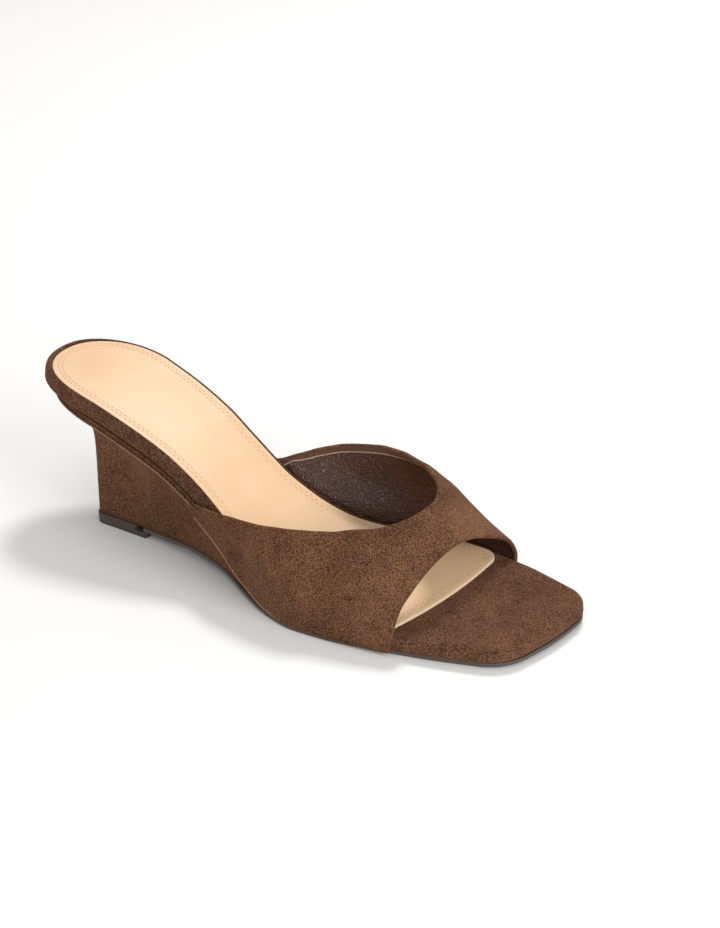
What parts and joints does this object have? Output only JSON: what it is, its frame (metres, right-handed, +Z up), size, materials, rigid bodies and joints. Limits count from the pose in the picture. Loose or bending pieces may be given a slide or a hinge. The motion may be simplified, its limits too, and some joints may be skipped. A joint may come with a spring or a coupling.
{
  "type": "wedge mule",
  "caption": "Open-toed suede mule for the right foot with a wedge heel, a padded footbed, a pale leather sock, a domed vamp and a square toe.",
  "frame": {"origin": "on the floor, in the middle of the shoe's length and width", "axes": "+X from heel to toe, +Y to the inner side of the foot, +Z up"},
  "size_m": [0.247, 0.0888, 0.0677],
  "materials": {
    "suede": "brown napped suede",
    "footbed_suede": "darker reddish brown napped suede",
    "sock_leather": "smooth pale nude leather, satin",
    "sole_sheet": "matt grey-brown sole sheet",
    "lift_rubber": "matt dark grey rubber"
  },
  "bodies": {
    "root": {"outsole": "sole_sheet", "top_lift": "lift_rubber", "wedge": "suede", "footbed": "footbed_suede", "sock": "sock_leather", "vamp": "suede"}
  },
  "joints": []
}
